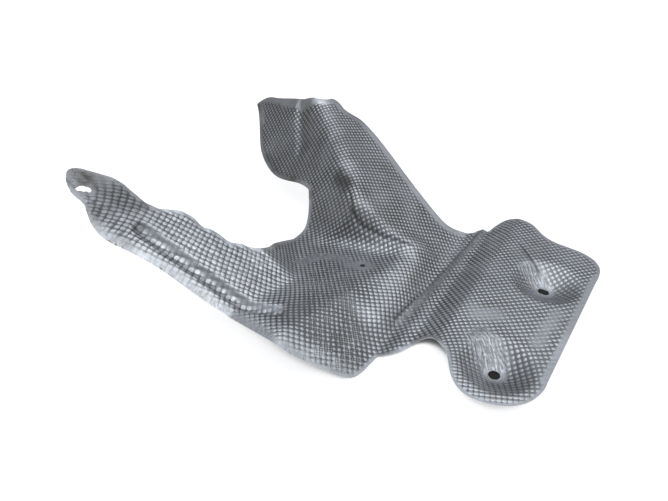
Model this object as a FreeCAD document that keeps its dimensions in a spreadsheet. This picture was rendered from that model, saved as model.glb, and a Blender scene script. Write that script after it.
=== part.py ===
import FreeCAD
import Part
import math
import os

# Heat shield: one pressed sheet of aluminium. A flat plate with two dished bolt seats is folded
# to a body that climbs away from it and splits into two arms. Sizes are in millimetres.
# The origin is the centre of the round plate hole, on the underside of its seat. The slotted
# hole lies along +Y, the plate's free edge towards +X, and +Z is up.

doc = FreeCAD.newDocument("heat_shield")

SIZES = [
    ("sheet_gauge", 1.0, "thickness of the pressed sheet"),
    ("hole_spacing", 133.0, "round plate hole to slotted plate hole, along Y"),
    ("round_hole_diameter", 10.0, "round plate hole"),
    ("slot_length", 11.0, "slotted plate hole, along X"),
    ("slot_width", 8.0, "slotted plate hole, along Y"),
    ("middle_hole_diameter", 5.5, "small hole in the shelf between the arms"),
    ("middle_hole_offset", 159.0, "hole line to that small hole, along X"),
    ("plate_edge", 40.0, "hole line to the plate's free edge, along X"),
    ("long_arm_reach", 376.0, "hole line to the tip of the long arm, along X"),
    ("upper_arm_reach", 419.0, "hole line to the end of the upper arm, along X"),
    ("arm_root", 237.0, "hole line to the root of the gap between the arms, along X"),
    ("dish_depth", 14.0, "plate above its two bolt seats"),
    ("dish_floor_radius", 8.0, "flat seat round a plate hole"),
    ("dish_rim_radius", 33.0, "where a dish meets the plate"),
    ("dish_round", 9.0, "round at the rim of a dish"),
    ("fold_offset", 96.0, "hole line to the valley at the foot of the body, along X"),
    ("fold_skew", 0.035, "run of the valley out of parallel with the hole line"),
    ("fold_round", 9.0, "round at the folds of the body, on the underside"),
    ("step_round", 16.0, "round at the fold between the plate and its step"),
    ("ridge_height", 4.2, "ridge between the valley and the step up to the plate"),
    ("ridge_round", 5.0, "rounds at that ridge and beside it"),
    ("ramp_slope", 0.5, "rise of the body from the valley"),
    ("shelf_height", 15.0, "shelf between the arms, at its small hole"),
    ("shelf_slope", 0.12, "fall of the shelf, away from the plate and along Y"),
    ("arm_slope", 0.57, "rise of the long arm"),
    ("arm_foot_offset", 206.0, "hole line to the foot of the long arm, along X"),
    ("arm_foot_height", 20.0, "foot of the long arm"),
    ("arm_end_slope", 0.6, "fall of the long arm's root into the gap between the arms"),
    ("wall_slope", 1.25, "rise of the upper arm's inner wall, along Y"),
    ("wall_foot_height", 8.0, "foot of that wall"),
    ("face_slope", 2.0, "rise of the steep face at the foot of that wall, along Y"),
    ("margin_slope", 0.25, "turned down margin of the long arm"),
    ("margin_width", 14.0, "width of that margin"),
    ("bead_depth", 3.8, "long bead pressed down into the long arm"),
    ("bead_half_width", 8.0, "half width of that bead"),
    ("flute_radius", 14.0, "flute at the end of the upper arm"),
    ("flute_depth", 5.0, "depth of that flute"),
    ("dent_radius", 10.0, "pressed hollow in the inner wall"),
    ("dent_depth", 3.2, "depth of that hollow"),
]

sheet = doc.addObject("Spreadsheet::Sheet", "sizes")
for row, (name, value, meaning) in enumerate(SIZES, start=1):
    sheet.set("A%d" % row, name)
    sheet.set("B%d" % row, str(value))
    sheet.set("C%d" % row, meaning)
    sheet.setAlias("B%d" % row, name)
doc.recompute()
size = {name: float(sheet.get(name)) for name, value, meaning in SIZES}

gauge = size["sheet_gauge"]
spacing = size["hole_spacing"]
depth = size["dish_depth"]
valley = -size["fold_offset"]
root = -size["arm_root"]

# The dies and punches are larger than the sheet on every side.
TOOL_SPAN = 1600.0
TOOL_FOOT = -TOOL_SPAN / 4.0
UP = FreeCAD.Vector(0.0, 0.0, 1.0)

# Each arm is drawn at one reach and stretched, from its root, to the reach that is set.
ROOT_DRAWN = 237.0
LONG_ARM_DRAWN = 376.0
UPPER_ARM_DRAWN = 419.0


def stretched(x, reach, drawn):
    scale = (reach - size["arm_root"]) / (drawn - ROOT_DRAWN)
    return root + (x + ROOT_DRAWN) * scale


def long_arm(x, y):
    return stretched(x, size["long_arm_reach"], LONG_ARM_DRAWN), y


def upper_arm(x, y):
    return stretched(x, size["upper_arm_reach"], UPPER_ARM_DRAWN), y


def far_plate(x, y):
    """a place at the far end of the plate, with y from the slotted hole"""
    return x, spacing + y


# Places in plan that the pressed details follow.
MIDDLE_HOLE = (-size["middle_hole_offset"], 49.0)
BEAD_LINE = [long_arm(-306.0, -90.0), (-211.0, -70.0), (-180.0, -62.0)]
MARGIN_START = long_arm(-311.6, -120.1)
MARGIN_BEND = (-216.5, -88.7)
MARGIN_END = (-154.6, -98.4)
FLUTE_LINE = [upper_arm(-335.0, 191.3), upper_arm(-307.0, 154.0)]
DENT_CENTRE = (-230.5, 117.5)

# Each panel is a plane: a place on it, with its rise along X and along Y.
SHELF = ((*MIDDLE_HOLE, size["shelf_height"]), size["shelf_slope"], -size["shelf_slope"])
ARM = ((-size["arm_foot_offset"], 0.0, size["arm_foot_height"]), -size["arm_slope"], 0.0)
ARM_END = ((-size["arm_foot_offset"], -8.0, size["arm_foot_height"]),
           -size["arm_slope"], -size["arm_end_slope"])
WALL = ((-217.0, 76.5, size["wall_foot_height"]), 0.55, size["wall_slope"])
FACE = ((-191.0, 82.5, size["wall_foot_height"] + 2.0), -0.3, size["face_slope"])


def height(plane, x, y):
    (place_x, place_y, place_z), rise_x, rise_y = plane
    return place_z + rise_x * (x - place_x) + rise_y * (y - place_y)


def normal(plane):
    return FreeCAD.Vector(-plane[1], -plane[2], 1.0).normalize()


def off(plane, x, y, distance):
    """a place on a panel, moved along its normal"""
    return FreeCAD.Vector(x, y, height(plane, x, y)) + normal(plane) * distance


def margin_of(plane, start, end):
    """the plane that turns a panel down along its edge, from start to end in plan"""
    length = math.dist(start, end)
    inward = ((start[1] - end[1]) / length, (end[0] - start[0]) / length)
    turn = size["margin_slope"]
    fold_x = start[0] + inward[0] * size["margin_width"]
    fold_y = start[1] + inward[1] * size["margin_width"]
    fold = (fold_x, fold_y, height(plane, fold_x, fold_y))
    return fold, plane[1] + turn * inward[0], plane[2] + turn * inward[1]


ARM_MARGIN = margin_of(ARM, MARGIN_START, MARGIN_BEND)
SHELF_MARGIN = margin_of(SHELF, MARGIN_BEND, MARGIN_END)


def turned(direction):
    return FreeCAD.Rotation(UP, direction)


def panel(name, plane, lift):
    """all that lies under a panel's plane, raised by the lift along its normal"""
    box = doc.addObject("Part::Box", name)
    box.Length = TOOL_SPAN
    box.Width = TOOL_SPAN
    box.Height = TOOL_SPAN / 2.0
    turn = turned(normal(plane))
    top_centre = FreeCAD.Vector(TOOL_SPAN / 2.0, TOOL_SPAN / 2.0, TOOL_SPAN / 2.0)
    place = off(plane, plane[0][0], plane[0][1], lift) - turn.multVec(top_centre)
    box.Placement = FreeCAD.Placement(place, turn)
    return box


def joined(kind, name, shapes):
    item = doc.addObject("Part::Multi" + kind, name)
    item.Shapes = shapes
    return item


def cut(name, base, tool):
    item = doc.addObject("Part::Cut", name)
    item.Base = base
    item.Tool = tool
    return item


def prism(name, sketch, direction, length):
    item = doc.addObject("Part::Extrusion", name)
    item.Base = sketch
    item.DirMode = "Custom"
    item.Dir = direction
    item.LengthFwd = length
    item.Solid = True
    return item


def rod(name, start, end, radius):
    item = doc.addObject("Part::Cylinder", name)
    item.Radius = radius
    item.Height = (end - start).Length
    item.Placement = FreeCAD.Placement(start, turned(end - start))
    return item


def ball(name, centre, radius):
    item = doc.addObject("Part::Sphere", name)
    item.Radius = radius
    item.Placement.Base = centre
    return item


# Only the folds that cross the sheet are rounded, not those of the dies beyond it.
SHEET_ROOM = Part.makeBox(
    size["upper_arm_reach"] + size["plate_edge"] + 80.0, spacing + 290.0, 220.0,
    FreeCAD.Vector(-size["upper_arm_reach"] - 40.0, -150.0, -40.0))


def fold_rounded(name, base, first, second, radius):
    """a fillet along the fold where the faces of two shapes meet"""
    doc.recompute()
    skins = [Part.Compound(shape.Shape.Faces) for shape in (first, second)]

    def on_fold(edge):
        middle = Part.Vertex(edge.valueAt(0.5 * (edge.FirstParameter + edge.LastParameter)))
        if any(skin.distToShape(middle)[0] > 0.0001 for skin in skins):
            return False
        return edge.distToShape(SHEET_ROOM)[0] < 0.01

    edges = enumerate(base.Shape.Edges, start=1)
    item = doc.addObject("Part::Fillet", name)
    item.Base = base
    item.Edges = [(number, radius, radius) for number, edge in edges if on_fold(edge)]
    return item


def crest(name, first, second, lift):
    """two shapes that meet in a fold with its round on top"""
    both = joined("Common", name + "_sharp", [first, second])
    return fold_rounded(name, both, first, second, size["fold_round"] + lift)


def trough(name, first, second, lift):
    """two shapes that meet in a fold with its round below"""
    both = joined("Fuse", name + "_sharp", [first, second])
    return fold_rounded(name, both, first, second, size["fold_round"] - lift)


# Section across the fold, from the plate's free side to the top of the body: places along X and
# Z with the bend's radius at each, on the underside.
SECTION_FAR = TOOL_SPAN / 4.0
VALLEY_HEIGHT = -0.4
SECTION = [
    (size["plate_edge"] + 40.0, depth, 0.0),
    (valley + 44.0, depth, size["step_round"]),
    (valley + 20.0, size["ridge_height"] - 2.0, size["ridge_round"]),
    (valley + 13.0, size["ridge_height"], size["ridge_round"]),
    (valley, VALLEY_HEIGHT, size["ridge_round"] + 2.0),
    (valley - SECTION_FAR, VALLEY_HEIGHT + size["ramp_slope"] * SECTION_FAR, 0.0),
]


def raised(section, lift):
    """the section moved by the lift along its own normals"""
    points = [FreeCAD.Vector(x, z, 0.0) for x, z, radius in section]
    lines = []
    for a, b in zip(points[:-1], points[1:]):
        along = (b - a).normalize()
        lines.append((a + FreeCAD.Vector(along.y, -along.x, 0.0) * lift, along))
    moved = [lines[0][0]]
    for (a, along_a), (b, along_b) in zip(lines[:-1], lines[1:]):
        across = along_a.x * along_b.y - along_a.y * along_b.x
        gap = b - a
        run = (gap.x * along_b.y - gap.y * along_b.x) / across
        moved.append(a + along_a * run)
    last, along_last = lines[-1]
    moved.append(last + along_last * (points[-1] - points[-2]).Length)
    return moved


def bend(before, corner, after, radius):
    """the two ends and the middle of the arc that rounds a corner"""
    back = (before - corner).normalize()
    ahead = (after - corner).normalize()
    half = 0.5 * back.getAngle(ahead)
    reach = radius / math.tan(half)
    middle = (back + ahead).normalize() * (radius / math.sin(half) - radius)
    return corner + back * reach, corner + middle, corner + ahead * reach


def section_die(name, lift):
    """the solid under the section, drawn square to the valley and carried along it"""
    sketch = doc.addObject("Sketcher::SketchObject", name + "_section")
    points = raised(SECTION, lift)
    last = points[0]
    for i in range(1, len(points) - 1):
        before, corner, after = points[i - 1], points[i], points[i + 1]
        turn = (corner - before).cross(after - corner).z
        radius = SECTION[i][2] + (lift if turn > 0.0 else -lift)
        start, middle, end = bend(before, corner, after, radius)
        sketch.addGeometry(Part.LineSegment(last, start), False)
        sketch.addGeometry(Part.Arc(start, middle, end), False)
        last = end
    left = FreeCAD.Vector(points[-1].x, TOOL_FOOT, 0.0)
    right = FreeCAD.Vector(points[0].x, TOOL_FOOT, 0.0)
    corners = [last, points[-1], left, right, points[0]]
    for a, b in zip(corners[:-1], corners[1:]):
        sketch.addGeometry(Part.LineSegment(a, b), False)
    skew = FreeCAD.Rotation(UP, math.degrees(math.atan(size["fold_skew"])))
    along = skew.multVec(FreeCAD.Vector(0.0, 1.0, 0.0))
    upright = FreeCAD.Rotation(FreeCAD.Vector(1.0, 0.0, 0.0), 90.0)
    sketch.Placement = FreeCAD.Placement(along * (-TOOL_SPAN / 4.0), skew.multiply(upright))
    return prism(name, sketch, along, TOOL_SPAN / 2.0)


def dish(name, seat_y, lift):
    """the hollow of a bolt seat: a flat floor and a conical side up past the plate"""
    floor = size["dish_floor_radius"]
    flare = (size["dish_rim_radius"] - floor) / depth
    inset = lift * math.tan(0.5 * math.atan(1.0 / flare))
    rise = 2.0 * depth
    cone = doc.addObject("Part::Cone", name)
    cone.Radius1 = floor - inset
    cone.Radius2 = floor - inset + flare * rise
    cone.Height = rise
    cone.Placement.Base = FreeCAD.Vector(0.0, seat_y, lift)
    return cone


def bead(name, lift):
    """the long bead: rods sunk along the long arm and into the shelf, with round ends"""
    half = size["bead_half_width"]
    sunk = size["bead_depth"]
    radius = (half ** 2 + sunk ** 2) / (2.0 * sunk)
    planes = [ARM, ARM, SHELF]
    path = [off(p, x, y, radius - sunk) for p, (x, y) in zip(planes, BEAD_LINE)]
    shapes = [ball("%s_end_%d" % (name, i), p, radius - lift) for i, p in enumerate(path)]
    for i, (a, b) in enumerate(zip(path[:-1], path[1:])):
        shapes.append(rod("%s_%d" % (name, i), a, b, radius - lift))
    return shapes


def die(tag, lift):
    """the solid under one skin of the sheet"""
    def part(name, plane):
        return panel(tag + name, plane, lift)

    front = crest(tag + "_front", part("_shelf", SHELF), part("_shelf_margin", SHELF_MARGIN), lift)
    rear = crest(tag + "_rear", part("_wall", WALL), part("_face", FACE), lift)
    inner = trough(tag + "_inner", front, rear, lift)
    body = crest(tag + "_body", section_die(tag + "_ground", lift), inner, lift)
    arm = crest(tag + "_arm_root", part("_arm", ARM), part("_arm_end", ARM_END), lift)
    arm = crest(tag + "_arm_body", arm, part("_arm_margin", ARM_MARGIN), lift)
    whole = trough(tag + "_whole", body, arm, lift)

    dishes = joined("Fuse", tag + "_dishes", [
        dish(tag + "_round_seat", 0.0, lift), dish(tag + "_slot_seat", spacing, lift)])
    dished = cut(tag + "_dished_sharp", whole, dishes)
    dished = fold_rounded(tag + "_dished", dished, whole, dishes, size["dish_round"] + lift)

    flute_radius = size["flute_radius"]
    axis = [off(WALL, x, y, flute_radius - size["flute_depth"]) for x, y in FLUTE_LINE]
    dent_radius = size["dent_radius"]
    dent_centre = off(WALL, *DENT_CENTRE, dent_radius - size["dent_depth"])
    hollows = joined("Fuse", tag + "_hollows", [
        rod(tag + "_flute", axis[0], axis[1], flute_radius - lift),
        ball(tag + "_flute_top", axis[0], flute_radius - lift),
        ball(tag + "_flute_foot", axis[1], flute_radius - lift),
        ball(tag + "_dent", dent_centre, dent_radius - lift)] + bead(tag + "_bead", lift))
    return cut(tag + "_die", dished, hollows)


# The sheet is what lies between the dies of its two skins.
pressed = cut("pressed_sheet", die("upper", gauge), die("lower", 0.0))

# Trimmed outline in plan. Each stretch is a smooth curve through its points, or a straight
# edge, and starts where the one before it ended.
EDGE = size["plate_edge"]
OUTLINE_START = far_plate(-84.5, 64.0)
OUTLINE = [
    [far_plate(-80.3, 82.0), far_plate(-72.2, 94.0), far_plate(-60.9, 94.0),
     far_plate(-45.1, 91.0), far_plate(-30.2, 79.2), far_plate(-17.6, 72.4),
     far_plate(10.3, 69.6), far_plate(25.7, 65.4), far_plate(EDGE - 3.6, 55.6),
     far_plate(EDGE + 0.5, 42.1), far_plate(EDGE + 0.7, 24.0)],
    [(EDGE + 1.3, 4.0)],
    [(EDGE - 0.5, -14.8), (31.5, -30.1), (18.0, -40.9), (4.0, -45.7), (-10.7, -45.2),
     (-23.2, -37.1), (-34.7, -21.0), (-42.6, -9.8), (-51.3, -4.1), (-61.4, 0.6), (-70.0, -6.2),
     (-75.3, -18.7), (-82.2, -31.1), (-91.0, -37.5)],
    [(-92.1, -48.8), (-93.1, -61.0), (-96.0, -70.3), (-101.7, -77.1), (-112.0, -82.1)],
    [(-133.4, -93.4)],
    [(-142.8, -96.8), MARGIN_END],
    [MARGIN_BEND],
    [long_arm(-237.7, -95.2), long_arm(-272.9, -104.0), long_arm(-289.2, -109.7), MARGIN_START],
    [long_arm(-322.8, -122.0), long_arm(-333.7, -119.7), long_arm(-340.4, -116.1),
     long_arm(-345.6, -113.6), long_arm(-351.2, -113.7)],
    [long_arm(-358.5, -114.1), long_arm(-365.8, -111.6), long_arm(-372.2, -107.2),
     long_arm(-376.0, -102.0), long_arm(-375.5, -95.6), long_arm(-368.7, -87.3),
     long_arm(-359.8, -78.6), long_arm(-349.3, -71.9), long_arm(-335.6, -69.4),
     long_arm(-324.1, -68.0), long_arm(-315.0, -63.9), long_arm(-307.0, -54.1),
     long_arm(-299.2, -45.3), long_arm(-289.4, -41.3), long_arm(-280.3, -41.2),
     long_arm(-273.8, -36.5), long_arm(-265.1, -33.5), long_arm(-256.0, -31.0),
     long_arm(-251.5, -25.5), (root - 7.3, -19.8), (root, -8.2), (root - 4.0, 11.8),
     (root - 9.5, 42.6), (root - 12.8, 63.6), (root - 14.2, 78.7), (root - 18.2, 91.4),
     (root - 25.1, 103.9), (root - 34.7, 116.4)],
    [upper_arm(-286.0, 121.1), upper_arm(-308.3, 125.9), upper_arm(-331.0, 132.7),
     upper_arm(-354.7, 145.4), upper_arm(-375.5, 161.5), upper_arm(-389.5, 178.0),
     upper_arm(-405.3, 196.7), upper_arm(-419.0, 209.5)],
    [upper_arm(-410.0, 215.0), upper_arm(-387.5, 211.3), upper_arm(-359.5, 205.3),
     upper_arm(-339.8, 200.5), upper_arm(-326.1, 199.0), upper_arm(-310.7, 202.0),
     upper_arm(-305.6, 214.0)],
    [upper_arm(-295.8, 215.0), upper_arm(-285.1, 211.5), upper_arm(-271.1, 217.2),
     upper_arm(-257.2, 216.6), upper_arm(-239.0, 211.7), (-204.5, 198.7), (-169.7, 185.4),
     (-138.8, 175.1), (-120.6, 173.5), (-108.4, 180.5), (-96.0, 188.5)],
    [(-90.6, 197.0), OUTLINE_START],
]


def flat(point):
    return FreeCAD.Vector(point[0], point[1], 0.0)


def outline_tool(name, start, stretches):
    """a straight tool with a drawn outline, through the whole height of the part"""
    sketch = doc.addObject("Sketcher::SketchObject", name + "_outline")
    for stretch in stretches:
        points = [flat(start)] + [flat(point) for point in stretch]
        if len(points) == 2:
            sketch.addGeometry(Part.LineSegment(points[0], points[1]), False)
        else:
            curve = Part.BSplineCurve()
            curve.interpolate(points)
            sketch.addGeometry(curve, False)
        start = stretch[-1]
    sketch.Placement.Base.z = TOOL_FOOT
    return prism(name, sketch, UP, TOOL_SPAN / 2.0)


trimmed = joined("Common", "trimmed_sheet", [pressed, outline_tool("blank", OUTLINE_START, OUTLINE)])


def round_tool(name, alias, centre):
    tool = doc.addObject("Part::Cylinder", name)
    tool.setExpression("Radius", "sizes.%s / 2" % alias)
    tool.Height = TOOL_SPAN / 2.0
    tool.Placement.Base = FreeCAD.Vector(centre[0], centre[1], TOOL_FOOT)
    return tool


round_hole = round_tool("round_hole", "round_hole_diameter", (0.0, 0.0))
middle_hole = round_tool("middle_hole", "middle_hole_diameter", MIDDLE_HOLE)

# The slotted hole is two round ends and the straight part between them, across the hole line.
slot = []
for name, side in (("slot_left", -1), ("slot_right", 1)):
    end = round_tool(name, "slot_width", (0.0, 0.0))
    end.setExpression("Placement.Base.x", "%d * (sizes.slot_length - sizes.slot_width) / 2" % side)
    end.setExpression("Placement.Base.y", "sizes.hole_spacing")
    slot.append(end)
middle = doc.addObject("Part::Box", "slot_middle")
middle.setExpression("Length", "sizes.slot_length - sizes.slot_width")
middle.setExpression("Width", "sizes.slot_width")
middle.Height = TOOL_SPAN / 2.0
middle.setExpression("Placement.Base.x", "-(sizes.slot_length - sizes.slot_width) / 2")
middle.setExpression("Placement.Base.y", "sizes.hole_spacing - sizes.slot_width / 2")
middle.Placement.Base.z = TOOL_FOOT
slot.append(middle)

# The hole in the long arm's tip is pulled out of round, with a ragged lower side.
TIP_HOLE_START = long_arm(-360.4, -107.6)
TIP_HOLE = [
    [long_arm(-360.0, -104.2), long_arm(-358.0, -101.0), long_arm(-355.4, -98.6),
     long_arm(-353.0, -98.6), long_arm(-352.2, -101.8)],
    [long_arm(-354.2, -103.8)],
    [long_arm(-354.0, -105.8)],
    [long_arm(-356.4, -106.6)],
    [long_arm(-357.2, -109.1)],
    [long_arm(-359.0, -109.4), TIP_HOLE_START],
]
tip_hole = outline_tool("tip_hole", TIP_HOLE_START, TIP_HOLE)

punches = joined("Fuse", "punches", [round_hole, middle_hole, tip_hole] + slot)
shield = cut("heat_shield", trimmed, punches)
shield.Label = "heat_shield"
doc.recompute()

for item in doc.Objects:
    if "Invalid" in item.State or "Error" in item.State:
        raise RuntimeError("%s did not compute" % item.Label)
    if hasattr(item, "Shape") and (item.Shape.isNull() or not item.Shape.isValid()):
        raise RuntimeError("%s has no valid shape" % item.Label)
if len(shield.Shape.Solids) != 1:
    raise RuntimeError("the shield is %d solids" % len(shield.Shape.Solids))

os.makedirs("parts", exist_ok=True)
shield.Shape.exportStep("parts/heat_shield.step")
box = shield.Shape.optimalBoundingBox(True, False)
print("heat_shield %.1f x %.1f x %.1f mm" % (box.XLength, box.YLength, box.ZLength))
print("lowest %.2f mm, volume %.1f cm3" % (box.ZMin, shield.Shape.Volume / 1000.0))
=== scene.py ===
# %% [markdown]
# # An embossed heat shield
# The shield is one thin sheet of aluminium. At the mill a flat strip is rolled between two
# patterned rollers, which gives it rows of small round pads. A press then folds and draws the
# strip to its shape and trims its edge. The solid model has the pressed shape with plain skins.
# Here the embossed sheet is made the way the factory makes it, so the rows of pads run across
# the folds as they do on the real part.

# %% Load the pressed shape
import math

import bmesh
import bpy
from mathutils import Matrix, Vector, noise
from mathutils.bvhtree import BVHTree
from mathutils.geometry import barycentric_transform
from mathutils.kdtree import KDTree


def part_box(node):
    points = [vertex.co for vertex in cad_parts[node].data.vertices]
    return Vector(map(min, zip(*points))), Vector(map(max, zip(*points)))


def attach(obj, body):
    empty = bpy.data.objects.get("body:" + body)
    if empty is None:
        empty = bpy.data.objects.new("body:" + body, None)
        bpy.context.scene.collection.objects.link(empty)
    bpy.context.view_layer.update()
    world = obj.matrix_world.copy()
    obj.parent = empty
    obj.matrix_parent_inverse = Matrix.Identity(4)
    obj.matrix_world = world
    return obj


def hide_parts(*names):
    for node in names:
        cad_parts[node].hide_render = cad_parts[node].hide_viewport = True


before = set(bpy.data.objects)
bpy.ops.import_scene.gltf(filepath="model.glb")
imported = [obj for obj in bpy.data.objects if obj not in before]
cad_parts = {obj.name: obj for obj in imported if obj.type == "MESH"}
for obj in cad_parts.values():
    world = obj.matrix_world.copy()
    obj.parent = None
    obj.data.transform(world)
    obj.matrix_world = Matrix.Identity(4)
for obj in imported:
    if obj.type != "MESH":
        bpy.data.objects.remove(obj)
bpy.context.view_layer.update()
MM = 0.001
print("shape to dress:", sorted(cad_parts))

# %% [markdown]
# ## The die
# A press needs a die to push the sheet onto. The solid model's upper skin serves as that die: a
# ray sent straight down finds its height anywhere. The solid's cut edges are upright walls, and
# the line along the top of those walls is the trimmed edge, which is kept as a cloud of points.

# %% Read the die and its trimmed edge
die = bmesh.new()
die.from_mesh(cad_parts["heat_shield"].data)
bmesh.ops.remove_doubles(die, verts=die.verts[:], dist=0.001 * MM)
die.normal_update()
die_tree = BVHTree.FromBMesh(die)
low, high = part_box("heat_shield")
DOWN = Vector((0.0, 0.0, -1.0))
WALL_SLOPE = 0.1
JUST_OUTSIDE = 0.3 * MM
EDGE_SPACING = 0.4 * MM


def die_point(x, y):
    """the die's upper skin under a plan point, with its normal, or None off the sheet"""
    place, normal, face, run = die_tree.ray_cast(Vector((x, y, 1.0)), DOWN)
    return (place, normal) if place else None


def is_cut_wall(face):
    return abs(face.normal.z) < WALL_SLOPE


edge_points = []
for edge in die.edges:
    walls = [face for face in edge.link_faces if is_cut_wall(face)]
    skins = [face for face in edge.link_faces if face.normal.z > WALL_SLOPE]
    if not walls or not skins:
        continue
    a, b = (vert.co for vert in edge.verts)
    outside = a.lerp(b, 0.5) + walls[0].normal * JUST_OUTSIDE
    if die_point(outside.x, outside.y) is None:
        steps = max(1, round((b - a).length / EDGE_SPACING))
        edge_points += [a.lerp(b, i / steps) for i in range(steps)]
edge_tree = KDTree(len(edge_points))
for i, point in enumerate(edge_points):
    edge_tree.insert((point.x, point.y, 0.0), i)
edge_tree.balance()


def nearest_edge(x, y):
    """the nearest point of the trimmed edge in plan, and how far it is"""
    place, index, distance = edge_tree.find((x, y, 0.0))
    return edge_points[index], distance


print("points along the trimmed edge:", len(edge_points))

# %% [markdown]
# ## The rough form
# A coarse copy of the pressed sheet is needed that can be flattened and measured. The die's own
# triangles are long slivers, which flatten badly, so a plain square grid is dropped onto the die
# like a blank instead. It is carried a little past the trimmed edge, so that the fine sheet can
# be cut from it cleanly.

# %% Drop a grid onto the die
FORM_STEP = 3.0 * MM
FORM_MARGIN = 9.0 * MM
PROBE_DEPTHS = (2.0 * MM, 1.0 * MM, 0.5 * MM, 0.2 * MM)
STEEPEST = 0.3


def carried_on(x, y):
    """the height of the sheet carried on past its trimmed edge"""
    rim, distance = nearest_edge(x, y)
    inward = Vector((rim.x - x, rim.y - y, 0.0))
    if inward.length > 0.0:
        inward.normalize()
    for depth in PROBE_DEPTHS:
        inside = die_point(rim.x + inward.x * depth, rim.y + inward.y * depth)
        if inside:
            place, normal = inside
            slope = normal.x * (x - place.x) + normal.y * (y - place.y)
            return place.z - slope / max(normal.z, STEEPEST)
    return rim.z


form = bmesh.new()
span = high - low + Vector((2.0, 2.0, 0.0)) * FORM_MARGIN
columns = round(span.x / FORM_STEP)
rows = round(span.y / FORM_STEP)
bmesh.ops.create_grid(form, x_segments=columns, y_segments=rows, size=0.5)
bmesh.ops.scale(form, vec=(span.x, span.y, 1.0), verts=form.verts[:])
centre = (low + high) / 2.0
bmesh.ops.translate(form, vec=(centre.x, centre.y, 0.0), verts=form.verts[:])
off_sheet = []
for vert in form.verts:
    under = die_point(vert.co.x, vert.co.y)
    if under:
        vert.co.z = under[0].z
    elif nearest_edge(vert.co.x, vert.co.y)[1] < FORM_MARGIN:
        vert.co.z = carried_on(vert.co.x, vert.co.y)
    else:
        off_sheet.append(vert)
bmesh.ops.delete(form, geom=off_sheet, context="VERTS")
strays = [vert for vert in form.verts if not vert.link_faces]
bmesh.ops.delete(form, geom=strays, context="VERTS")
print("grid dropped on the die:", len(form.verts), "points")

# %% [markdown]
# ## Softer folds
# Thin metal is drawn round the body and the upper arm in wide, soft folds, while the plate, the
# bead and the flute are struck crisply. Smoothing the grid's heights widens a fold, and smoothing
# only the height keeps the outline where it is. The long fold of the upper arm gets the most.

# %% Soften the drawn folds
BODY_START = -112.0 * MM
SADDLE_START = 60.0 * MM
HIGH_FOLD_END = -215.0 * MM
KEPT_CRISP = 13.0 * MM


def plan_run(*corners):
    """a run of straight lines in plan, from corners in millimetres"""
    return [Vector((x * MM, y * MM, 0.0)) for x, y in corners]


def ramp(value, start, end):
    """0 up to the start, 1 from the end on, and an even rise between them"""
    share = min(1.0, max(0.0, (value - start) / (end - start)))
    return share * share * (3.0 - 2.0 * share)


def run_distance(x, y, run):
    """how far a plan point is from a run of straight lines"""
    point = Vector((x, y, 0.0))
    best = 1.0
    for a, b in zip(run[:-1], run[1:]):
        share = (point - a).dot(b - a) / (b - a).length_squared
        best = min(best, (point - a.lerp(b, min(1.0, max(0.0, share)))).length)
    return best


FLUTE = plan_run((-335, 191.3), (-307, 154))
BEAD = plan_run((-306, -90), (-211, -70), (-180, -62))
bmesh.ops.triangulate(form, faces=form.faces[:])
soft = [v for v in form.verts
        if v.co.x < BODY_START and run_distance(v.co.x, v.co.y, BEAD) > KEPT_CRISP]
saddle = [v for v in soft if v.co.y > SADDLE_START]
high_fold = [v for v in saddle
             if v.co.x < HIGH_FOLD_END and run_distance(v.co.x, v.co.y, FLUTE) > KEPT_CRISP]
for places, rounds in ((high_fold, 48), (saddle, 12), (soft, 4)):
    for turn in range(rounds):
        bmesh.ops.smooth_vert(form, verts=places, factor=0.5, use_axis_z=True)
bmesh.ops.smooth_vert(form, verts=form.verts[:], factor=0.4, use_axis_z=True)
form.normal_update()
form_tree = BVHTree.FromBMesh(form)
print("rough form:", len(form.faces), "triangles")

# %% [markdown]
# ## The flat blank
# The pads were rolled into flat strip, so their rows are square on the flat sheet, not on the
# pressed part. A minimum-stretch unwrap flattens the rough form with as little stretch as it
# can, and an eased copy is used so that small hollows don't disturb the rows.

# %% Flatten the rough form
EASING_ROUNDS = 60
eased = form.copy()
for turn in range(EASING_ROUNDS):
    bmesh.ops.smooth_vert(eased, verts=eased.verts[:], factor=0.5, use_axis_z=True)
form_mesh = bpy.data.meshes.new("rough_form")
eased.to_mesh(form_mesh)
form_mesh.uv_layers.new(name="flat")
form_piece = bpy.data.objects.new("rough_form", form_mesh)
bpy.context.collection.objects.link(form_piece)
for item in bpy.context.selected_objects:
    item.select_set(False)
form_piece.select_set(True)
bpy.context.view_layer.objects.active = form_piece
bpy.ops.object.mode_set(mode="EDIT")
bpy.ops.mesh.select_all(action="SELECT")
bpy.ops.uv.unwrap(method="MINIMUM_STRETCH", fill_holes=False, margin=0.0)
bpy.ops.object.mode_set(mode="OBJECT")

pressed = [vert.co.copy() for vert in form.verts]
flat = [Vector((0.0, 0.0, 0.0)) for vert in form_mesh.vertices]
for loop, corner in zip(form_mesh.loops, form_mesh.uv_layers["flat"].data):
    flat[loop.vertex_index] = Vector((corner.uv.x, corner.uv.y, 0.0))
triangles = [tuple(face.vertices) for face in form_mesh.polygons]
bpy.data.objects.remove(form_piece)
print("flattened:", len(triangles), "triangles")

# %% [markdown]
# ## The blank at real size
# An unwrap comes out at any size, turned or mirrored. The plate is flat on the pressed part too, so
# comparing its triangles with those on the map gives the scale, the hand and the turn. The map is
# then counted in rows of pads, with one row direction along its first axis.

# %% Bring the blank to real size
PITCH = 4.5 * MM
ROW_TURN = math.radians(40.0)
PLATE_START = -45.0 * MM


def blank_size(points):
    """how many rows of pads the flat blank spans each way, as words"""
    spans = [max(p[axis] for p in points) - min(p[axis] for p in points) for axis in (0, 1)]
    return "%.0f by %.0f" % tuple(spans)


def area(points, a, b, c):
    return (points[b] - points[a]).cross(points[c] - points[a]).length / 2.0


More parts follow.
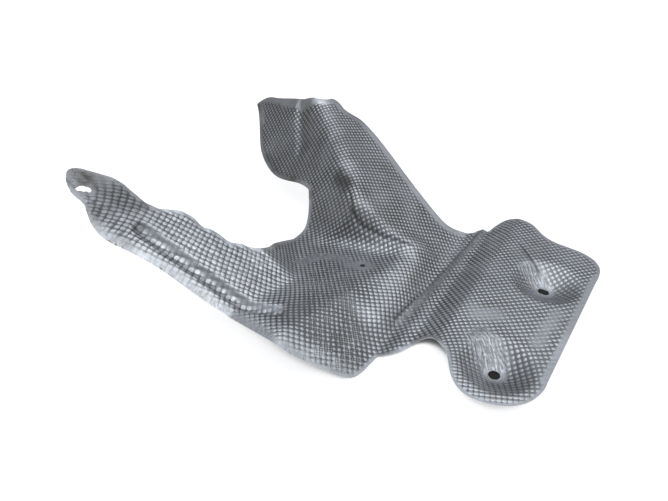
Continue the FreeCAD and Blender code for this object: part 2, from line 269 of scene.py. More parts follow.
plate = [t for t in triangles if all(pressed[i].x > PLATE_START for i in t)]
true_size = math.sqrt(sum(area(pressed, *t) for t in plate) / sum(area(flat, *t) for t in plate))
handed = sum((flat[b] - flat[a]).cross(flat[c] - flat[a]).z for a, b, c in plate)
if handed < 0.0:
    flat = [Vector((-point.x, point.y, 0.0)) for point in flat]
sine = cosine = 0.0
for a, b, c in plate:
    drawn = flat[b] - flat[a]
    real = pressed[b] - pressed[a]
    cosine += drawn.x * real.x + drawn.y * real.y
    sine += drawn.x * real.y - drawn.y * real.x
turn = Matrix.Rotation(math.atan2(sine, cosine) - ROW_TURN, 3, "Z")
flat = [turn @ point * (true_size / PITCH) for point in flat]
print("flat blank in rows of pads:", blank_size(flat))

# %% [markdown]
# ## How the press drew the rows
# No real sheet flattens without stretch. The two arms were drawn out in the press, so their rows
# lean more and more towards their ends, and the long arm's pads grew. The map can be turned about
# each arm's root to show this, which is quicker than following the metal's flow. A slow noise lets
# the rows wander a little everywhere but on the flat plate. Its seed is fixed, or the clock would
# choose one and every run would differ.

# %% Lean the rows of the arms
GROWTH_REACH = 60.0 * MM
WANDER = 0.45
WANDER_SCALE = 24.0
WANDER_SEED = 11


def by_long_arm(y):
    return 1.0 - ramp(y, -20.0 * MM, 30.0 * MM)


def by_upper_arm(y):
    return ramp(y, 60.0 * MM, 110.0 * MM)


def drawn_out(root, lean, growth, share):
    """lean the rows of an arm and let its pads grow, more and more from its root"""
    root_vert = min(range(len(pressed)), key=lambda i: (pressed[i].xy - root).length)
    pivot = flat[root_vert].copy()
    for i, point in enumerate(pressed):
        run = (root.x - point.x) * share(point.y)
        if run > 0.0:
            turned = Matrix.Rotation(lean * run, 3, "Z") @ (flat[i] - pivot)
            flat[i] = pivot + turned * (1.0 - growth * ramp(run, 0.0, GROWTH_REACH))


drawn_out(Vector((-0.205, -0.045)), -1.6, 0.13, by_long_arm)
drawn_out(Vector((-0.305, -0.085)), -8.0, 0.0, by_long_arm)
drawn_out(Vector((-0.245, 0.140)), 1.3, 0.0, by_upper_arm)
noise.seed_set(WANDER_SEED)
for i, point in enumerate(pressed):
    stray = noise.noise_vector(point * WANDER_SCALE) * (WANDER * ramp(-point.x, 60.0 * MM, 120.0 * MM))
    flat[i] += Vector((stray.x, stray.y, 0.0))
flat_tree = BVHTree.FromPolygons(flat, triangles)
print("blank with leaning rows:", blank_size(flat))

# %% [markdown]
# ## The embossed sheet
# A fine grid is laid on the flat blank with three steps to each pad, and every point is carried
# to the same place on the rough form. That presses the sheet. Near the torn hole at the tip only
# a narrow bridge is left, so the grid is halved there first. Points off the trimmed outline are
# then cut away.

# %% Press the fine sheet
STEPS = 3
TIP_HOLE = Vector((-0.358, -0.104))
TIP_HOLE_REACH = 16.0 * MM
EDGE_CLEARANCE = 0.25 * MM
left = math.floor(min(p.x for p in flat))
right = math.ceil(max(p.x for p in flat))
near = math.floor(min(p.y for p in flat))
far = math.ceil(max(p.y for p in flat))
sheet = bmesh.new()
across = right - left
along = far - near
bmesh.ops.create_grid(sheet, x_segments=across * STEPS, y_segments=along * STEPS, size=0.5)
bmesh.ops.scale(sheet, vec=(across, along, 1.0), verts=sheet.verts[:])
bmesh.ops.translate(sheet, vec=((left + right) / 2, (near + far) / 2, 0.0), verts=sheet.verts[:])
row_place = sheet.verts.layers.float_vector.new("row_place")


def pressed_place(point):
    """where a point of the flat blank goes on the rough form"""
    place, normal, index, run = flat_tree.ray_cast(Vector((point.x, point.y, 1.0)), DOWN)
    if place is None:
        return None
    a, b, c = triangles[index]
    return barycentric_transform(place, flat[a], flat[b], flat[c], pressed[a], pressed[b], pressed[c])


def by_tip_hole(edge):
    middle = (edge.verts[0].co + edge.verts[1].co) / 2.0
    place = pressed_place(middle)
    return place is not None and (place.xy - TIP_HOLE).length < TIP_HOLE_REACH


fine = [edge for edge in sheet.edges if by_tip_hole(edge)]
bmesh.ops.subdivide_edges(sheet, edges=fine, cuts=1, use_grid_fill=True)
cut_away = []
for vert in sheet.verts:
    vert[row_place] = vert.co
    place = pressed_place(vert.co)
    if place is None or die_point(place.x, place.y) is None:
        cut_away.append(vert)
    elif nearest_edge(place.x, place.y)[1] < EDGE_CLEARANCE:
        cut_away.append(vert)
    else:
        vert.co = place
bmesh.ops.delete(sheet, geom=cut_away, context="VERTS")
strays = [vert for vert in sheet.verts if not vert.link_faces]
bmesh.ops.delete(sheet, geom=strays, context="VERTS")
print("pressed sheet:", len(sheet.faces), "faces")

# %% [markdown]
# ## The trimmed edge
# Cutting a grid leaves a border like a flight of steps. A trimming die leaves one clean line, so
# the open border is extruded and its new points are put on the edge itself.

# %% Trim the sheet
MERGED_WITHIN = 0.25 * MM
border = [edge for edge in sheet.edges if edge.is_boundary]
grown = bmesh.ops.extrude_edge_only(sheet, edges=border)["geom"]
rim_verts = [item for item in grown if isinstance(item, bmesh.types.BMVert)]
for vert in rim_verts:
    rim, distance = nearest_edge(vert.co.x, vert.co.y)
    place, normal, face, run = form_tree.ray_cast(Vector((rim.x, rim.y, 1.0)), DOWN)
    vert.co = place if place else rim
bmesh.ops.remove_doubles(sheet, verts=rim_verts, dist=MERGED_WITHIN)
bmesh.ops.recalc_face_normals(sheet, faces=sheet.faces[:])
if sum(face.normal.z for face in sheet.faces) < 0.0:
    bmesh.ops.reverse_faces(sheet, faces=sheet.faces[:])
print("points on the trimmed edge:", sum(vert.is_boundary for vert in sheet.verts))

# %% [markdown]
# ## Pads and plain places
# The trimmed rim, the bolt seats, the tip of the long arm and its turned-down margin are pressed
# flat, so the pads fade out there. Bare patches on the plate were flattened as well, and beside
# the bolt seats the metal is drawn so far that its pads are pulled out into streaks. These places
# could be painted on a map, but short runs with a half width say the same in a few lines and
# can be moved by their numbers.

# %% List the plain, drawn and creased places
ROUND_HOLE = Vector((0.0, 0.0, 0.0))
SLOT_HOLE = Vector((0.0, 0.133, 0.0))
MIDDLE_HOLE = Vector((-0.159, 0.049, 0.0))
FRONT_EDGE = plan_run((-330, -122), (-312, -120), (-273, -104),
                      (-216.5, -88.7), (-154.6, -98.4), (-133.4, -93.4))
# Each plain or drawn place is a run in plan with its half width.
PLAIN_PLACES = [
    (plan_run((-38, 50), (-24, 58)), 8.0 * MM),
    (plan_run((20, 44), (21, 74), (23, 92)), 5.0 * MM),
    (plan_run((-170, 44), (-152, 52)), 5.0 * MM),
    ([point + Vector((0.0, 0.0055, 0.0)) for point in BEAD], 2.4 * MM),
]
DRAWN_PLACES = [
    (plan_run((-6, 10), (-21, 22)), 10.0 * MM),
    (plan_run((-7, 139), (-20, 147)), 8.0 * MM),
    (plan_run((-96, 10), (-92, 85), (-88, 195)), 2.2 * MM),
    (plan_run((-214, 20), (-206, 43), (-181, 51)), 4.5 * MM),
]
# The sheet is creased where the arms begin, beside the far dish and along the step.
CREASES = [
    plan_run((-214, 110), (-201, 95), (-186, 91.6), (-160, 94), (-135, 103)),
    plan_run((-44, 182), (-24, 160), (-12, 151)),
    plan_run((-100.5, 10), (-96.5, 85), (-92.5, 195)),
]
# The body swells beside the step, and on its lower corner glints are painted into the grooves too.
SWELL = plan_run((-128, 105), (-120, 70), (-113, 34), (-113, 0))
GLINT_ZONE = plan_run((-172, 10), (-140, -30), (-118, -62))
# Along the body's lower edge and round the plate's near end the pads are pressed broad.
BROAD_PLACES = [
    plan_run((-200, -87), (-137, -89), (-105, -75)),
    plan_run((-22, -28), (0, -36), (20, -28)),
]
print("places listed:", len(PLAIN_PLACES), "plain,", len(DRAWN_PLACES), "drawn,", len(CREASES), "creased")

# %% [markdown]
# ## Soil and painted shade
# The shield is a used one, and these runs darken its metal. Most of them are painted shade: along a
# fold at the wall's foot and the fold where the arms begin, in the wall's dent and its flute, over
# the whole far wall, round the small hole, on the bead's lower side, along the step and on the round
# dish's right flank. The tip, the rippled margin, the wall's free edge and the body's lower corner
# are painted darker as well. Each run has its half width and how much of the metal it hides at most.

# %% List the places painted darker, mostly as shade
SOIL_AND_SHADE_PLACES = [
    # painted darker: the tip, the rippled margin beside it and the wall's free edge
    (plan_run((-372, -98), (-338, -82)), 22.0 * MM, 1.0),
    (plan_run((-345, -112), (-318, -104)), 10.0 * MM, 0.5),
    (plan_run((-415, 208), (-376, 162), (-331, 134), (-265, 112)), 5.0 * MM, 0.9),
    # painted shade: a fold at the wall's foot, the dent, the flute, the whole far wall, the fold where
    # the arms begin, round the small hole and the bead's lower side
    (plan_run((-252, 80), (-239, 10)), 4.0 * MM, 0.6),
    (plan_run((-238, 124), (-224, 118)), 8.0 * MM, 1.4),
    (plan_run((-327, 192), (-299, 154)), 6.0 * MM, 0.7),
    (plan_run((-390, 190), (-300, 150), (-235, 95)), 40.0 * MM, 0.36),
    (plan_run((-200, 100), (-150, 100)), 9.0 * MM, 0.25),
    (plan_run((-163, 46), (-149, 54)), 8.0 * MM, 0.6),
    ([point - Vector((0.0, 0.004, 0.0)) for point in BEAD], 2.5 * MM, 0.45),
    # painted darker: the body's lower corner
    (plan_run((-150, -45), (-105, -70)), 25.0 * MM, 0.3),
    # painted shade: along the step and on the round dish's right flank
    (plan_run((-92, -10), (-85, 195)), 9.0 * MM, 0.4),
    (plan_run((12, -18), (22, 12)), 8.0 * MM, 0.3),
]
print("soiled places:", len(SOIL_AND_SHADE_PLACES))

# %% [markdown]
# ## Shares at a point
# Any point of the sheet has shares that start at 0: how creased it is, how much it is painted darker,
# mostly as shade, and how far the press has drawn it. The border of most places wanders by a noise,
# because nothing that happens to a sheet by hand or by wear has a ruled border.

# %% Work out creases, painted shade and drawing
def ragged(x, y, run):
    """how far a plan point is from a run whose border wanders"""
    point = Vector((x, y, 0.0))
    stray = 3.0 * noise.noise(point * 95.0) + 2.0 * noise.noise(point * 260.0)
    return run_distance(x, y, run) + MM * stray


def creased(x, y):
    """1 in the bottom of a crease, 0 beside it"""
    return max(1.0 - ramp(run_distance(x, y, run), 0.4 * MM, 2.6 * MM) for run in CREASES)


def soil_and_shade_at(x, y):
    """how much of the metal is painted darker at a plan point, mostly as shade"""
    # painted shade: the bottom of every crease is darkened
    share = 0.9 * creased(x, y)
    for run, half_width, most in SOIL_AND_SHADE_PLACES:
        share = max(share, most * (1.0 - ramp(ragged(x, y, run), 0.0, 2.0 * half_width)))
    return share


def drawn_plain(x, y):
    """how far the press has drawn the pads out at a plan point"""
    return max(1.0 - ramp(ragged(x, y, run), half_width, 1.7 * half_width + 1.0 * MM)
               for run, half_width in DRAWN_PLACES)


print("drawn by %.2f beside the round hole" % drawn_plain(-0.013, 0.016))

# %% [markdown]
# ## How fully the pads stand
# The share of a pad starts from the distance to the trimmed edge and is cut down by each thing that
# flattens it: the lands round the holes, the turned-down margin, the plain places and the drawing.
# Multiplying them lets two of them act at one point.

# %% Work out how fully the pads stand
RIM = 1.6 * MM
WIDE_RIM = 4.5 * MM
FAR_RIM = 7.0 * MM
RIM_FADE = 3.0 * MM
HOLE_LANDS = ((ROUND_HOLE, 8.5 * MM), (SLOT_HOLE, 8.5 * MM), (MIDDLE_HOLE, 7.0 * MM))
LAND_FADE = 4.0 * MM


def rim_width(x, y, rim):
    """how wide the plain rim is at a plan point, given the nearest point of the edge"""
    if rim.y > 0.17 and -0.37 < rim.x < -0.105:
        return FAR_RIM
    by_free_edge = x > 0.025 and 0.0 < y < 0.17
    by_upper_end = x < -0.30 and y > 0.185
    return WIDE_RIM if by_free_edge or by_upper_end else RIM


def embossed(x, y):
    """how fully the pads stand at a plan point"""
    point = Vector((x, y, 0.0))
    rim, distance = nearest_edge(x, y)
    width = rim_width(x, y, rim)
    share = ramp(distance, width, width + RIM_FADE)
    for hole, radius in HOLE_LANDS:
        share *= ramp((point - hole).length, radius, radius + LAND_FADE)
    share *= 0.15 + 0.85 * ramp(ragged(x, y, FRONT_EDGE), 4.0 * MM, 11.0 * MM)
    if y < 0.0:
        share *= 0.3 + 0.7 * ramp(x, -0.356, -0.342)
    for run, half_width in PLAIN_PLACES:
        share *= 0.32 + 0.68 * ramp(ragged(x, y, run), 0.3 * half_width, 2.0 * half_width)
    share *= 1.0 - 0.7 * drawn_plain(x, y)
    wear = noise.noise(point * 45.0)
    return share * (0.86 + 0.2 * wear) * (1.0 - 0.12 * ramp(x, -0.06, -0.03))


def broadened(x, y):
    """how much broader than usual a pad's top is at a plan point, below 0 for a narrower one"""
    on_arm = ramp(-x, 0.17, 0.21) * ramp(-y, -0.03, 0.01)
    on_swell = 1.0 - ramp(run_distance(x, y, SWELL), 10.0 * MM, 22.0 * MM)
    on_band = max(1.0 - ramp(run_distance(x, y, run), 7.0 * MM, 18.0 * MM) for run in BROAD_PLACES)
    spread = max(on_arm, on_swell, on_band)
    return spread + 0.6 * on_band - 0.7 * ramp(-x, 0.10, 0.13) * (1.0 - spread)


print("pads stand by %.2f on the plate and %.2f beside the round hole" % (
    embossed(-0.02, 0.09), embossed(0.010, 0.0)))

# %% [markdown]
# ## Shares on the sheet
# The shares are kept on the vertices as named layers. The mesh reads them when the pads are raised,
# and the finish reads the same layers later, so shape and finish agree everywhere.

# %% Write the shares on the sheet
pads = sheet.verts.layers.float.new("pads")
soil_and_shade = sheet.verts.layers.float.new("soil_and_shade")
drawn_layer = sheet.verts.layers.float.new("drawn")
glint_zone_layer = sheet.verts.layers.float.new("glint_zone")
broad_layer = sheet.verts.layers.float.new("broad")
for vert in sheet.verts:
    x, y = vert.co.xy
    vert[pads] = embossed(x, y)
    vert[soil_and_shade] = soil_and_shade_at(x, y)
    margin = 1.0 - ramp(ragged(x, y, FRONT_EDGE), 4.0 * MM, 9.0 * MM)
    vert[drawn_layer] = max(drawn_plain(x, y), 0.5 * margin)
    # where glints are painted into the grooves, on the body's lower corner
    vert[glint_zone_layer] = 1.0 - ramp(ragged(x, y, GLINT_ZONE), 16.0 * MM, 34.0 * MM)
    vert[broad_layer] = broadened(x, y)
standing = sum(vert[pads] > 0.6 for vert in sheet.verts)
print("points with a standing pad: %d of %d" % (standing, len(sheet.verts)))

# %% [markdown]
# ## Raising the pads
# Each pad is pushed up between its grooves, no two quite alike. A used sheet is never quite
# flat either: it has been handled, so it waves by a few tenths of a millimetre, its margin is
# rippled and its creases are sunk. All of it is moved along the vertex normals in one go.

# %% Raise the pads
PAD_HEIGHT = 0.6 * MM
WAVE_DEPTH = 0.5 * MM
CREASE_DEPTH = 1.0 * MM
BEAD_DEPTH = 1.5 * MM
SWELL_HEIGHT = 4.5 * MM
RIPPLE_DEPTH = 0.9 * MM
RIPPLE_LENGTH = 7.5 * MM
RIPPLES = plan_run((-338, -113), (-302, -110))
RISES = (1.0, 0.3, 0.0)
BOX_ROOM = (0.05 * MM, 0.05 * MM, 0.6 * MM)
TOP_ROOM = 0.05 * MM


def pad_lift(vert):
    """the height of a pad or groove at a vertex, set a little below the die"""
    column, part_x = divmod(round(vert[row_place].x * STEPS), STEPS)
    row, part_y = divmod(round(vert[row_place].y * STEPS), STEPS)
    rise = RISES[(part_x == 0) + (part_y == 0)]
    lot = 0.85 + 0.15 * noise.cell(Vector((column + 0.5, row + 0.5, 0.5)))
    return PAD_HEIGHT * (vert[pads] * lot * (rise - 0.5) - 0.5)


def wear_lift(place):
    """how far handling, creases, the bead, the swell and the ripples move the sheet"""
    x, y, z = place
    wave = 0.5 + 0.5 * noise.noise(place * 30.0)
    lift = -WAVE_DEPTH * wave * ramp(z, 2.0 * MM, 6.0 * MM)
    lift -= CREASE_DEPTH * creased(x, y)
    lift -= BEAD_DEPTH * (1.0 - ramp(run_distance(x, y, BEAD), 1.5 * MM, 7.5 * MM))
    lift += SWELL_HEIGHT * (1.0 - ramp(run_distance(x, y, SWELL), 0.0, 25.0 * MM))
    crest = 0.5 + 0.5 * math.sin((x + 0.3 * y) * math.tau / RIPPLE_LENGTH)
    beside = run_distance(x, y, RIPPLES)
    return lift - RIPPLE_DEPTH * crest * (1.0 - ramp(beside, 4.0 * MM, 16.0 * MM))


sheet.normal_update()
for vert in sheet.verts:
    vert.co += vert.normal * (pad_lift(vert) + wear_lift(vert.co))
    for axis, room in enumerate(BOX_ROOM):
        vert.co[axis] = min(max(vert.co[axis], low[axis] + room), high[axis] - TOP_ROOM)
print("height of the raised sheet: %.1f mm" % (max(vert.co.z for vert in sheet.verts) / MM))

# %% [markdown]
# ## Thickness and maps
# Such a shield is about half a millimetre thick, so a Solidify modifier gives the lower skin and
# the cut edge. The edge is marked sharp, or its shading would bleed into the skin. Two maps go
# with the faces: one counts the rows of pads, the other runs along the drawn streaks.

# %% Give the sheet its thickness
GAUGE = 0.45 * MM
ARM_PULL = math.radians(105.0)
BODY_PULL = math.radians(137.0)
STREAK_STRETCH = 0.2
rows_map = sheet.loops.layers.uv.new("rows")
streak_map = sheet.loops.layers.uv.new("streaks")
for edge in sheet.edges:
    edge.smooth = not edge.is_boundary
for face in sheet.faces:
    face.smooth = True
    middle = face.calc_center_median()
    on_arm = middle.x < -0.10 and middle.y < -0.03
    pull = Matrix.Rotation(-ARM_PULL if on_arm else -BODY_PULL, 2)
    for loop in face.loops:
        loop[rows_map].uv = loop.vert[row_place].xy
        pulled = pull @ loop.vert.co.xy
        loop[streak_map].uv = (pulled.x * STREAK_STRETCH, pulled.y)
sheet_mesh = bpy.data.meshes.new("embossed_sheet")
sheet.to_mesh(sheet_mesh)
embossed_sheet = bpy.data.objects.new("embossed_sheet", sheet_mesh)
bpy.context.collection.objects.link(embossed_sheet)
thickness = embossed_sheet.modifiers.new("gauge", "SOLIDIFY")
thickness.thickness = GAUGE
thickness.offset = -1.0
thickness.use_even_offset = False
sheet_mesh.calc_loop_triangles()
print("embossed sheet:", len(sheet_mesh.loop_triangles), "triangles on each skin")

# %% [markdown]
# ## Bare aluminium
# Rolled aluminium is a satin metal. Its finish could be painted, but a node tree on the sheet's
# own maps stays sharp at any distance. A few helpers keep the tree readable: each adds one node
# and hands back its output.

# %% Start the finish and its helpers
finish = bpy.data.materials.new("embossed_aluminium")
finish.use_nodes = True
nodes = finish.node_tree.nodes
links = finish.node_tree.links
shader = nodes["Principled BSDF"]
shader.inputs["Metallic"].default_value = 1.0


def math_node(kind, first, second=None, third=None):
    node = nodes.new("ShaderNodeMath")
    node.operation = kind
    for socket, value in zip(node.inputs, (first, second, third)):
        if value is None:
            continue
        if isinstance(value, (int, float)):
            socket.default_value = value
        else:
            links.new(value, socket)
    return node.outputs[0]


def blend(share, first, second):
    node = nodes.new("ShaderNodeMix")
    node.data_type = "RGBA"
    links.new(share, node.inputs["Factor"])
    for socket, value in ((node.inputs["A"], first), (node.inputs["B"], second)):
        if isinstance(value, tuple):
            socket.default_value = (*value, 1.0)
        else:
            links.new(value, socket)
    return node.outputs["Result"]


def cloudy(coordinates, scale, detail):
    node = nodes.new("ShaderNodeTexNoise")
    node.inputs["Scale"].default_value = scale
    node.inputs["Detail"].default_value = detail
    links.new(coordinates, node.inputs["Vector"])
    return node.outputs["Fac"]


def stepped(value, start, end):
    node = nodes.new("ShaderNodeMapRange")
    node.interpolation_type = "SMOOTHSTEP"
    node.inputs["From Min"].default_value = start
    node.inputs["From Max"].default_value = end
    links.new(value, node.inputs["Value"])
    return node.outputs["Result"]


def share_layer(name):
    node = nodes.new("ShaderNodeAttribute")
    node.attribute_name = name
    return node.outputs["Fac"]


def sheet_map(name):
    node = nodes.new("ShaderNodeUVMap")
    node.uv_map = name
    return node.outputs["UV"]


print("finish started:", finish.name)

# %% [markdown]
# ## Pads and grooves in the finish
# The distance from the middle of a pad, read from the rows map, tells the pad's top from the
# groove around it. A power a little over 2 gives the pad its shape between a circle and a square.
# Noise makes every pad's border uneven, and on the body's lower corner a finer lattice paints glints into
# the grooves and shapes their bump as well.

# %% Tell pads from grooves
PAD_POWER = 2.4
GLINT_POWER = 2.0
BROAD_SHIFT = -0.055


def from_middle(counts, power):
    """how far a point is from the middle of its cell, counted in rows each way"""
    parts = []
    for count in counts:
        part = math_node("SUBTRACT", math_node("FRACT", count), 0.5)
        parts.append(math_node("POWER", math_node("ABSOLUTE", part), power))
    return math_node("POWER", math_node("ADD", *parts), 1.0 / power)


place = nodes.new("ShaderNodeTexCoord").outputs["Object"]
split = nodes.new("ShaderNodeSeparateXYZ")
links.new(sheet_map("rows"), split.inputs["Vector"])
counts = [split.outputs["X"], split.outputs["Y"]]
reach = from_middle(counts, PAD_POWER)
uneven = math_node("MULTIPLY_ADD", cloudy(place, 420.0, 2.0), 0.18, math_node("SUBTRACT", reach, 0.09))
# painted glints: a lattice at twice the count of pads, which also shapes the bump
glint = from_middle([math_node("MULTIPLY_ADD", count, 2.0, 0.5) for count in counts], GLINT_POWER)
glint_zone_patch = math_node("MULTIPLY", stepped(cloudy(place, 130.0, 3.0), 0.44, 0.60), 0.7)
glint_zone_patch = math_node("MULTIPLY", share_layer("glint_zone"), glint_zone_patch)
uneven = math_node("MULTIPLY_ADD", glint_zone_patch, math_node("SUBTRACT", glint, uneven), uneven)
uneven = math_node("MULTIPLY_ADD", share_layer("broad"), BROAD_SHIFT, uneven)
uneven = math_node("MULTIPLY_ADD", cloudy(place, 60.0, 2.0), 0.12, math_node("SUBTRACT", uneven, 0.06))
pads_share = share_layer("pads")
groove = math_node("MULTIPLY", stepped(uneven, 0.26, 0.47), pads_share)
dome = math_node("MULTIPLY", stepped(uneven, 0.50, 0.14), pads_share)
print("nodes so far:", len(nodes))

# %% [markdown]
# ## Colour of the metal
# The tops of the pads keep the bare metal and the grooves are painted dark as shade. A slow noise
# gives the cloudiness of handled metal, another a dull film, a fine one its specks, and the places
# painted darker, mostly as shade, lie over them. The streaks beside the bolt seats come from a noise
# on the streaks map, which is stretched along the pull.

# %% Colour the metal
METAL = (0.60, 0.617, 0.645)
BRIGHT_METAL = (0.72, 0.737, 0.765)
FILM = (0.43, 0.42, 0.40)
SPECK = (0.36, 0.36, 0.36)
SOIL_AND_SHADE = (0.13, 0.121, 0.11)
GROOVE_SHADE = (0.12, 0.119, 0.117)
STREAK = (0.20, 0.198, 0.195)
cloud = stepped(cloudy(place, 16.0, 5.0), 0.35, 0.65)
film = stepped(cloudy(place, 38.0, 6.0), 0.45, 0.75)
speck = cloudy(place, 1100.0, 3.0)
metal = blend(cloud, METAL, BRIGHT_METAL)
metal = blend(math_node("MULTIPLY", film, 0.35), metal, FILM)
metal = blend(math_node("MULTIPLY", stepped(speck, 0.55, 0.75), 0.25), metal, SPECK)
# painted shade and darker places, read from the layer of places painted darker
soil_and_shade_patch = math_node("MULTIPLY", share_layer("soil_and_shade"), math_node("MULTIPLY_ADD", film, 0.4, 0.58))
metal = blend(soil_and_shade_patch, metal, SOIL_AND_SHADE)
# painted shade in the grooves between the pads
metal = blend(math_node("MULTIPLY", groove, 0.94), metal, GROOVE_SHADE)
streak = stepped(cloudy(sheet_map("streaks"), 620.0, 2.0), 0.42, 0.62)
streak = math_node("MULTIPLY", streak, share_layer("drawn"))
metal = blend(math_node("MULTIPLY", streak, 0.6), metal, STREAK)
links.new(metal, shader.inputs["Base Color"])
print("nodes so far:", len(nodes))

# %% [markdown]
# ## Roughness and fine relief
# Grooves and the places painted darker are duller than the burnished tops. The fine relief is too
# small for the mesh: the crown of each pad, the grain of the metal, the mottle of the plain places and
# the streaks. One bump node takes them all.

# %% Roughen and emboss the finish
RELIEF_DEPTH = 0.3 * MM
dull = math_node("MULTIPLY_ADD", groove, 0.15, math_node("MULTIPLY_ADD", cloud, -0.06, 0.36))
dull = math_node("MULTIPLY_ADD", soil_and_shade_patch, 0.25, dull)
links.new(math_node("MULTIPLY_ADD", speck, 0.16, dull), shader.inputs["Roughness"])
plain = math_node("SUBTRACT", 1.0, pads_share)
mottle = math_node("MULTIPLY", cloudy(place, 330.0, 3.0), math_node("MULTIPLY", plain, 0.8))
relief = math_node("ADD", math_node("MULTIPLY_ADD", speck, 0.22, dome), mottle)
relief = math_node("MULTIPLY_ADD", streak, -0.8, relief)
bump = nodes.new("ShaderNodeBump")
bump.inputs["Strength"].default_value = 1.0
bump.inputs["Distance"].default_value = RELIEF_DEPTH
links.new(relief, bump.inputs["Height"])
links.new(bump.outputs["Normal"], shader.inputs["Normal"])
sheet_mesh.materials.append(finish)

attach(embossed_sheet, "root")
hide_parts("heat_shield")
print("finish has", len(nodes), "nodes")

# %% [markdown]
# ## The floor
# The shield lies on a pale floor, a single large face just under its lowest point. It belongs to
# the stage and not to the shield.

# %% Lay the floor
FLOOR_HEIGHT = low.z - 0.2 * MM
FLOOR_REACH = 4.0
floor_mesh = bpy.data.meshes.new("floor")
floor_form = bmesh.new()
bmesh.ops.create_grid(floor_form, x_segments=1, y_segments=1, size=FLOOR_REACH)
bmesh.ops.translate(floor_form, vec=(centre.x, centre.y, FLOOR_HEIGHT), verts=floor_form.verts[:])
floor_form.to_mesh(floor_mesh)
floor = bpy.data.objects.new("floor", floor_mesh)
bpy.context.collection.objects.link(floor)
print("floor at %.1f mm" % (FLOOR_HEIGHT / MM))

# %% [markdown]
# ## The floor's paper
# Rays from the camera and from the metal see the floor as near white, while it is lit as plain
# paper, so it keeps the shadow. Close under the sheet no light gets in, so the glow fades out there.

# %% Make the floor's paper
SHADE_REACH = 80.0 * MM
paper = bpy.data.materials.new("pale_floor")
paper.use_nodes = True
paper_nodes = paper.node_tree.nodes
paper_links = paper.node_tree.links
paper_shader = paper_nodes["Principled BSDF"]
paper_shader.inputs["Base Color"].default_value = (0.6, 0.6, 0.6, 1.0)
paper_shader.inputs["Roughness"].default_value = 0.9
paper_shader.inputs["Emission Color"].default_value = (0.8, 0.8, 0.8, 1.0)
light_path = paper_nodes.new("ShaderNodeLightPath")
seen = light_path.outputs["Is Camera Ray"]
for kind in ("Is Glossy Ray", "Is Transmission Ray"):
    either = paper_nodes.new("ShaderNodeMath")
    either.operation = "MAXIMUM"
    paper_links.new(seen, either.inputs[0])
    paper_links.new(light_path.outputs[kind], either.inputs[1])
    seen = either.outputs[0]
open_above = paper_nodes.new("ShaderNodeAmbientOcclusion")
open_above.inputs["Distance"].default_value = SHADE_REACH
deep_shade = paper_nodes.new("ShaderNodeMapRange")
deep_shade.interpolation_type = "SMOOTHSTEP"
deep_shade.inputs["From Min"].default_value = 0.14
deep_shade.inputs["From Max"].default_value = 0.30
paper_links.new(open_above.outputs["AO"], deep_shade.inputs["Value"])
glow = paper_nodes.new("ShaderNodeMath")
glow.operation = "MULTIPLY"
paper_links.new(seen, glow.inputs[0])
paper_links.new(deep_shade.outputs["Result"], glow.inputs[1])
paper_links.new(glow.outputs[0], paper_shader.inputs["Emission Strength"])
floor_mesh.materials.append(paper)
print("paper has", len(paper_nodes), "nodes")

# %% [markdown]
# ## Painted shade under the bolt holes
# The shade under the plate is painted: a small dark disc under each seat shows only through its hole,
# so the two bolt holes look dark.

# %% Put painted shade under the holes
SHADE_DISC_RADIUS = 8.0 * MM
SHADE_DISC_HEIGHT = low.z - 0.1 * MM
# painted shade: a dark sheet under each seat where there is only shade
dark = bpy.data.materials.new("painted_shade_below")
dark.use_nodes = True
dark_shader = dark.node_tree.nodes["Principled BSDF"]
dark_shader.inputs["Base Color"].default_value = (0.02, 0.018, 0.016, 1.0)
dark_shader.inputs["Roughness"].default_value = 0.9
dark_mesh = bpy.data.meshes.new("painted_shade_below")
dark_form = bmesh.new()
for hole in (ROUND_HOLE, SLOT_HOLE):
    patch = Matrix.Translation((hole.x, hole.y, SHADE_DISC_HEIGHT))
    bmesh.ops.create_circle(dark_form, cap_ends=True, segments=32, radius=SHADE_DISC_RADIUS, matrix=patch)
dark_form.to_mesh(dark_mesh)
dark_mesh.materials.append(dark)
painted_shade_below = bpy.data.objects.new("painted_shade_below", dark_mesh)
bpy.context.collection.objects.link(painted_shade_below)
print("dark discs:", len(dark_mesh.polygons))

# %% [markdown]
# ## The room
# Metal shows what is around it, so the room matters as much as the lamps. It is bright and cool
# overhead and dim near the floor, which a colour ramp on the height gives. The camera itself sees
# a pale backdrop behind the floor.

# %% Light the room
TONES = [(0.0, (0.06, 0.055, 0.05)), (0.31, (0.12, 0.116, 0.11)), (0.64, (0.40, 0.42, 0.455)),
         (0.83, (0.62, 0.66, 0.72)), (1.0, (0.95, 1.0, 1.08))]
BACKDROP = (0.95, 0.95, 0.95, 1.0)
world = bpy.data.worlds.new("studio")
bpy.context.scene.world = world
world.use_nodes = True
room_nodes = world.node_tree.nodes
room_links = world.node_tree.links
height = room_nodes.new("ShaderNodeSeparateXYZ")
room_links.new(room_nodes.new("ShaderNodeTexCoord").outputs["Generated"], height.inputs["Vector"])
tone_ramp = room_nodes.new("ShaderNodeValToRGB")
tones = tone_ramp.color_ramp.elements
while len(tones) < len(TONES):
    tones.new(0.5)
for element, (level, tone) in zip(tones, TONES):
    element.position = level
    element.color = (*tone, 1.0)
room = room_nodes["Background"]
room.inputs["Strength"].default_value = 1.0
room_links.new(height.outputs["Z"], tone_ramp.inputs["Fac"])
room_links.new(tone_ramp.outputs["Color"], room.inputs["Color"])
backdrop = room_nodes.new("ShaderNodeBackground")
backdrop.inputs["Color"].default_value = BACKDROP
seen_room = room_nodes.new("ShaderNodeMixShader")
room_links.new(room_nodes.new("ShaderNodeLightPath").outputs["Is Camera Ray"], seen_room.inputs["Fac"])
room_links.new(room.outputs["Background"], seen_room.inputs[1])
room_links.new(backdrop.outputs["Background"], seen_room.inputs[2])
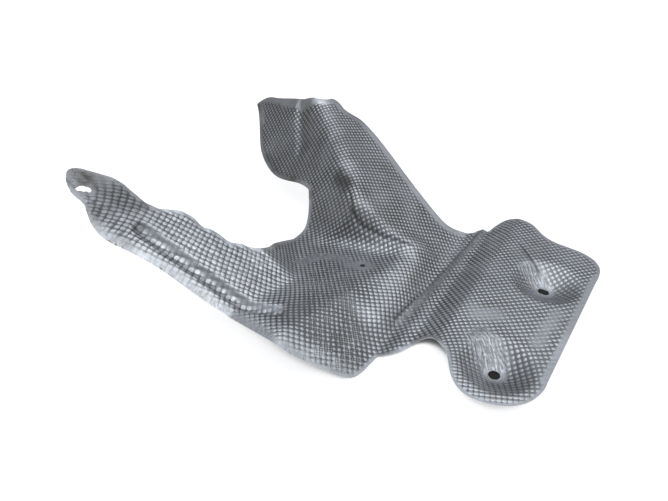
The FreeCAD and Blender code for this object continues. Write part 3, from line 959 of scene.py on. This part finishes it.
room_links.new(seen_room.outputs["Shader"], room_nodes["World Output"].inputs["Surface"])
print("room tones:", len(tones))

# %% [markdown]
# ## Lamps
# Four soft lamps give the pads their glints. The one over the plate lights what faces the camera,
# such as the bead's upper side and the far sides of the dishes. The one at the back lights the
# ramp and the long arm, and the other two fill.

# %% Hang the lamps
AIM = Vector((-0.16, 0.07, 0.03))


def lamp(name, place, size, power):
    light = bpy.data.lights.new(name, "AREA")
    light.shape = "DISK"
    light.size = size
    light.energy = power
    item = bpy.data.objects.new(name, light)
    item.location = place
    item.rotation_euler = (AIM - Vector(place)).to_track_quat("-Z", "Y").to_euler()
    bpy.context.collection.objects.link(item)


lamp("top_lamp", (-0.56, 0.39, 1.55), 0.6, 1.8)
lamp("over_lamp", (0.53, 0.07, 1.47), 0.6, 2.2)
lamp("side_lamp", (-1.44, -0.09, 0.99), 0.5, 0.3)
lamp("back_lamp", (0.55, 1.12, 1.15), 0.7, 1.2)
print("lamps:", len(bpy.data.lights))

# %% [markdown]
# ## The camera
# The camera stands where the photograph was taken: its place and its three directions were
# measured from the plate's holes and the outline.

# %% Stand the camera
RIGHT = Vector((0.8385, 0.5438, 0.034))
UP = Vector((-0.3438, 0.4797, 0.8073))
EYE = Vector((0.07135, -0.38146, 0.38763))
FOCAL_PIXELS = 620.0
PHOTO_WIDTH_PIXELS = 668.0
back = RIGHT.cross(UP).normalized()
lens = bpy.data.cameras.new("photo_camera")
lens.sensor_width = 36.0
lens.lens = FOCAL_PIXELS / PHOTO_WIDTH_PIXELS * lens.sensor_width
camera = bpy.data.objects.new("photo_camera", lens)
camera.matrix_world = Matrix((
    (RIGHT.x, UP.x, back.x, EYE.x), (RIGHT.y, UP.y, back.y, EYE.y),
    (RIGHT.z, UP.z, back.z, EYE.z), (0.0, 0.0, 0.0, 1.0)))
bpy.context.collection.objects.link(camera)
bpy.context.scene.camera = camera
bpy.context.scene.view_settings.view_transform = "Standard"
print("camera at", [round(v, 3) for v in EYE])
